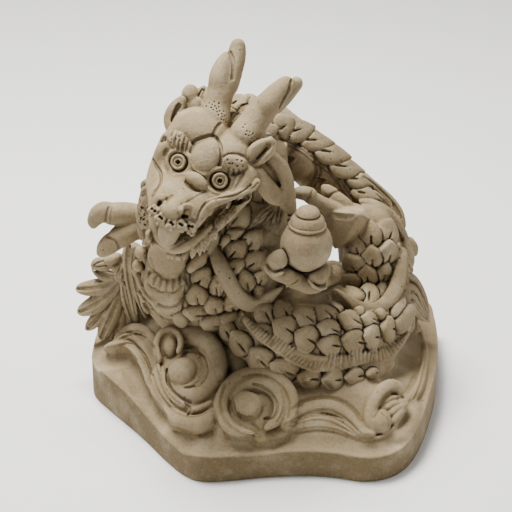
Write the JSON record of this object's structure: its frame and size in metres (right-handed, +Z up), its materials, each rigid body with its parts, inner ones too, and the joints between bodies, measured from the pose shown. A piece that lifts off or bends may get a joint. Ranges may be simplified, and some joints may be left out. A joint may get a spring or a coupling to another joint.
{
  "type": "roof end tile",
  "caption": "Hand-moulded clay corner-cover roof tile: a coiled dragon on a wave-carved slab lifts a round jewel in its forefoot.",
  "frame": {"origin": "on the flat underside of the slab, near the middle of its plan", "axes": "+Z up, -Y towards the side that faces out from the roof, +X to the right of somebody looking at the dragon"},
  "size_m": [0.3237, 0.2366, 0.3279],
  "materials": {
    "unglazed_clay": "matt unglazed grey-beige clay, darker in the hollows"
  },
  "bodies": {
    "root": {"dragon_roof_tile": "unglazed_clay"}
  },
  "joints": []
}
